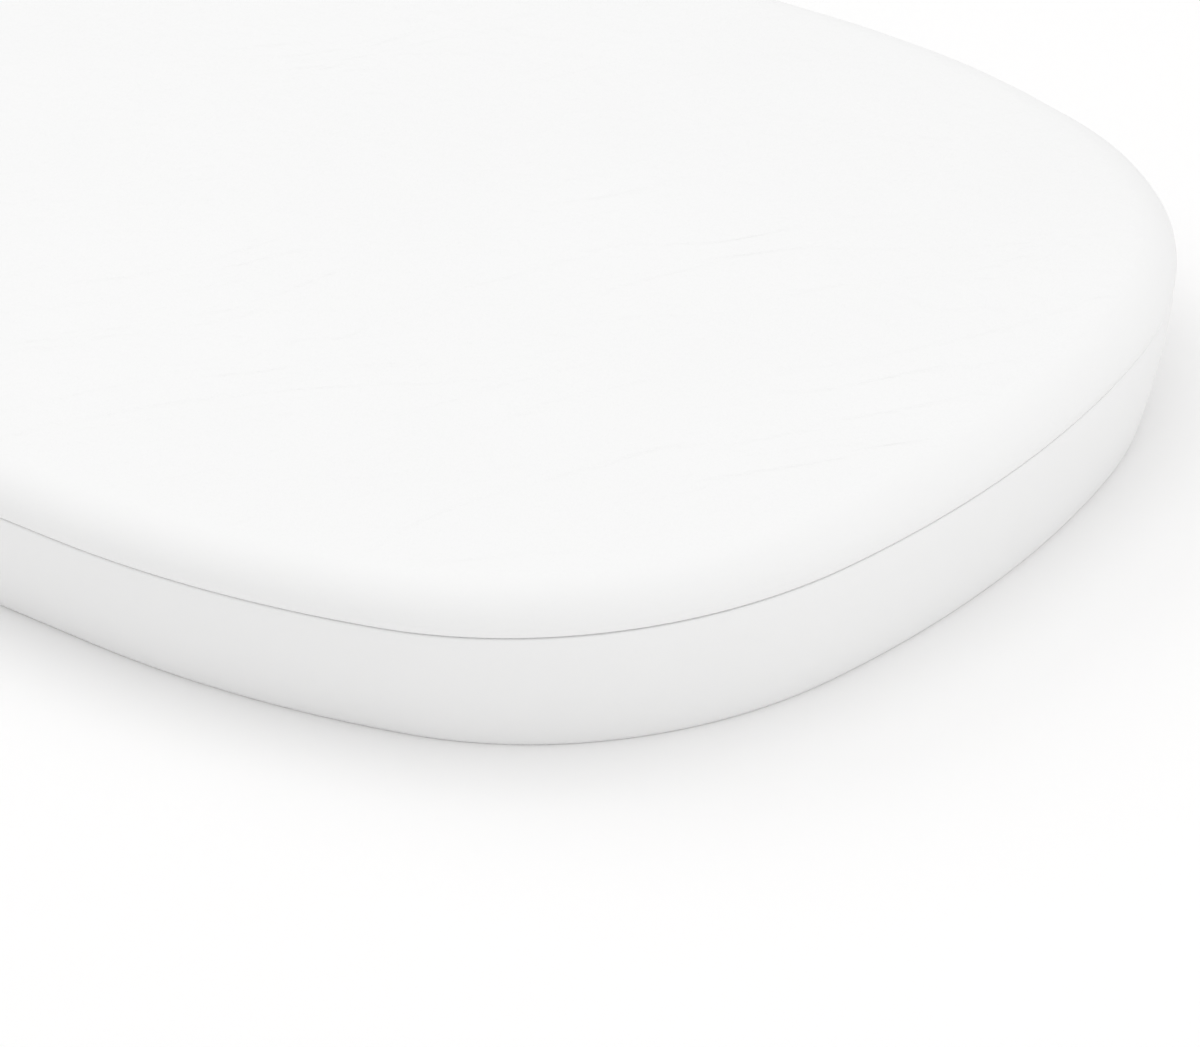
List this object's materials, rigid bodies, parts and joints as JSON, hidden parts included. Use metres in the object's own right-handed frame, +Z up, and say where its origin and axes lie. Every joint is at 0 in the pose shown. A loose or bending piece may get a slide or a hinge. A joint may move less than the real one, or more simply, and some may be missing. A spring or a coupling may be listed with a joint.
{
  "type": "changing pad",
  "caption": "Low changing pad with straight sides and rounded ends: a wipe-clean sewn cover, zipped at the back over a padded foam mattress.",
  "frame": {"origin": "centre of the underside, on the surface that the pad lies on", "axes": "+X along the pad towards the end where the zip closes, +Y towards the side with the zip, +Z up"},
  "size_m": [0.81, 0.41, 0.065],
  "materials": {
    "cover_cloth": "satin",
    "base_cloth": "matte",
    "thread": "satin",
    "zip_tape": "matte",
    "zip_coil": "satin",
    "zip_metal": "gloss",
    "label_cloth": "satin",
    "wadding": "matte",
    "soft_foam": "matte",
    "firm_foam": "matte"
  },
  "bodies": {
    "pad": {"top_panel": "cover_cloth", "side_band": "cover_cloth", "zip_band_upper": "cover_cloth", "zip_band_lower": "cover_cloth", "base_panel": "base_cloth", "top_seam_thread": "thread", "base_seam_thread": "thread", "zip_stitching_upper": "thread", "zip_stitching_lower": "thread", "zipper_tape_upper": "zip_tape", "zipper_tape_lower": "zip_tape", "zipper_coil_upper": "zip_coil", "zipper_coil_lower": "zip_coil", "zipper_top_stops": "zip_coil", "zipper_bottom_stop": "zip_coil", "care_label": "label_cloth", "wadding_top": "wadding", "wadding_side": "wadding", "foam_top": "soft_foam", "foam_core": "firm_foam"},
    "zip_slider": {"zipper_slider": "zip_metal"},
    "zip_pull": {"zipper_pull": "zip_metal"}
  },
  "joints": [
    {"name": "zipper_slide", "type": "slide", "parent": "pad", "child": "zip_slider", "axis": [1, 0, 0], "range_m": [-0.2654, 0]},
    {"name": "pull_hinge", "type": "hinge", "parent": "zip_slider", "child": "zip_pull", "pos_m": [0.1327, 0.19905, 0.03], "axis": [0, 0, -1], "range_deg": [0, 175]}
  ]
}
